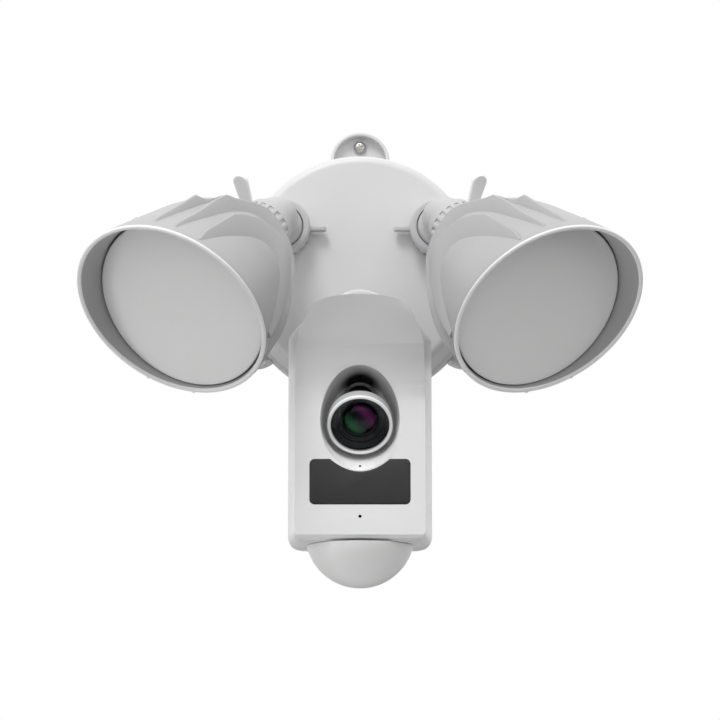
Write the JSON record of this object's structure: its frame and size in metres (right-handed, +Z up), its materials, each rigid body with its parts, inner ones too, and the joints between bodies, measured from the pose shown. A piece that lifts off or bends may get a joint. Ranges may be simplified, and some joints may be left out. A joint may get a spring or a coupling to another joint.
{
  "type": "floodlight security camera",
  "caption": "Round wall canopy carrying two bell shaped floodlights on ball jointed elbow arms above a hanging hooded camera with a motion sensor dome.",
  "frame": {"origin": "middle of the wall plate's back face, on the wall", "axes": "+X to the viewer's right, -Y out of the wall, +Z up"},
  "size_m": [0.292, 0.1873, 0.264],
  "materials": {
    "white_plastic": "fine satin texture",
    "lamp_plastic": "fine satin texture",
    "milky_plastic": "translucent, satin",
    "lens_trim": "semi gloss",
    "lens_barrel": "satin",
    "black_plastic": "satin",
    "dark_window": "glossy, passes infrared",
    "lens_glass": "coated, polished",
    "screw_steel": "plated",
    "rubber": "matt",
    "circuit_board": "solder mask",
    "aluminium": "milled",
    "cream_plastic": "satin"
  },
  "bodies": {
    "mount": {"wall_plate": "white_plastic", "canopy_shell": "white_plastic", "lug_screw_1": "screw_steel", "lug_screw_2": "screw_steel", "lug_screw_3": "screw_steel", "wire_grommet": "rubber", "driver_board": "circuit_board", "terminal_block": "cream_plastic"},
    "arm_left_swivel": {"arm_left_friction_pad": "rubber"},
    "arm_left": {"arm_left_elbow": "white_plastic", "arm_left_elbow_cup": "white_plastic"},
    "arm_left_lock": {"arm_left_lock_ring": "white_plastic"},
    "lamp_left_swivel": {"lamp_left_friction_pad": "rubber"},
    "lamp_left": {"lamp_left_shell": "lamp_plastic", "lamp_left_diffuser": "milky_plastic", "lamp_left_seal": "rubber", "lamp_left_led_board": "aluminium"},
    "lamp_left_lock": {"lamp_left_lock_ring": "white_plastic"},
    "arm_right_swivel": {"arm_right_friction_pad": "rubber"},
    "arm_right": {"arm_right_elbow": "white_plastic", "arm_right_elbow_cup": "white_plastic"},
    "arm_right_lock": {"arm_right_lock_ring": "white_plastic"},
    "lamp_right_swivel": {"lamp_right_friction_pad": "rubber"},
    "lamp_right": {"lamp_right_shell": "lamp_plastic", "lamp_right_diffuser": "milky_plastic", "lamp_right_seal": "rubber", "lamp_right_led_board": "aluminium"},
    "lamp_right_lock": {"lamp_right_lock_ring": "white_plastic"},
    "camera_swivel": {"camera_friction_pad": "rubber"},
    "camera": {"camera_ball": "white_plastic", "camera_front_shell": "white_plastic", "camera_rear_shell": "white_plastic", "lens_barrel": "lens_barrel", "lens_ring": "lens_trim", "lens_glass": "lens_glass", "lens_objective": "black_plastic", "infrared_window": "dark_window", "motion_dome": "milky_plastic", "motion_sensor": "circuit_board", "main_board": "circuit_board", "speaker": "black_plastic", "infrared_board": "circuit_board", "service_board": "circuit_board"},
    "camera_lock": {"camera_lock_ring": "white_plastic"},
    "service_cover": {"service_cover": "rubber"},
    "reset_button": {"reset_button": "cream_plastic"}
  },
  "joints": [
    {"name": "arm_left_swivel", "type": "hinge", "parent": "mount", "child": "arm_left_swivel", "pos_m": [-0.043, -0.046, 0.0205], "axis": [0, 1, 0], "range_deg": [-3, 60]},
    {"name": "arm_left_tilt", "type": "hinge", "parent": "arm_left_swivel", "child": "arm_left", "pos_m": [-0.043, -0.046, 0.0205], "axis": [1, 0, 0], "range_deg": [-10, 15]},
    {"name": "arm_left_lock_turn", "type": "hinge", "parent": "mount", "child": "arm_left_lock", "pos_m": [-0.043, -0.046, 0.0205], "axis": [0, 1, 0], "range_deg": [-25, 25]},
    {"name": "lamp_left_swivel", "type": "hinge", "parent": "arm_left", "child": "lamp_left_swivel", "pos_m": [-0.0553, -0.082, 0.009], "axis": [0.4408, 0.666, 0.6018], "range_deg": [-40, 40]},
    {"name": "lamp_left_tilt", "type": "hinge", "parent": "lamp_left_swivel", "child": "lamp_left", "pos_m": [-0.0553, -0.082, 0.009], "axis": [0.8339, -0.5519, 0], "range_deg": [-12, 8]},
    {"name": "lamp_left_lock_turn", "type": "hinge", "parent": "arm_left", "child": "lamp_left_lock", "pos_m": [-0.0553, -0.082, 0.009], "axis": [0.4408, 0.666, 0.6018], "range_deg": [-30, 30]},
    {"name": "arm_right_swivel", "type": "hinge", "parent": "mount", "child": "arm_right_swivel", "pos_m": [0.043, -0.046, 0.0205], "axis": [0, -1, 0], "range_deg": [-3, 60]},
    {"name": "arm_right_tilt", "type": "hinge", "parent": "arm_right_swivel", "child": "arm_right", "pos_m": [0.043, -0.046, 0.0205], "axis": [1, 0, 0], "range_deg": [-10, 15]},
    {"name": "arm_right_lock_turn", "type": "hinge", "parent": "mount", "child": "arm_right_lock", "pos_m": [0.043, -0.046, 0.0205], "axis": [0, -1, 0], "range_deg": [-25, 25]},
    {"name": "lamp_right_swivel", "type": "hinge", "parent": "arm_right", "child": "lamp_right_swivel", "pos_m": [0.0553, -0.082, 0.009], "axis": [0.4408, -0.666, -0.6018], "range_deg": [-40, 40]},
    {"name": "lamp_right_tilt", "type": "hinge", "parent": "lamp_right_swivel", "child": "lamp_right", "pos_m": [0.0553, -0.082, 0.009], "axis": [0.8339, 0.5519, 0], "range_deg": [-12, 8]},
    {"name": "lamp_right_lock_turn", "type": "hinge", "parent": "arm_right", "child": "lamp_right_lock", "pos_m": [0.0553, -0.082, 0.009], "axis": [0.4408, -0.666, -0.6018], "range_deg": [-30, 30]},
    {"name": "camera_pan", "type": "hinge", "parent": "mount", "child": "camera_swivel", "pos_m": [0, -0.048, -0.0348], "axis": [0, 0, 1], "range_deg": [-4, 4]},
    {"name": "camera_tilt", "type": "hinge", "parent": "camera_swivel", "child": "camera", "pos_m": [0, -0.048, -0.0348], "axis": [1, 0, 0], "range_deg": [-20, 10]},
    {"name": "camera_lock_turn", "type": "hinge", "parent": "mount", "child": "camera_lock", "pos_m": [0, -0.048, -0.0348], "axis": [0, -1, 0], "range_deg": [-30, 30]},
    {"name": "service_cover_hinge", "type": "hinge", "parent": "camera", "child": "service_cover", "pos_m": [0, -0.0588, -0.1299], "axis": [-1, 0, 0], "range_deg": [0, 95]},
    {"name": "reset_button_press", "type": "slide", "parent": "camera", "child": "reset_button", "axis": [0, -1, 0], "range_m": [0, 0.0006], "stiffness_N_per_m": 1500}
  ]
}
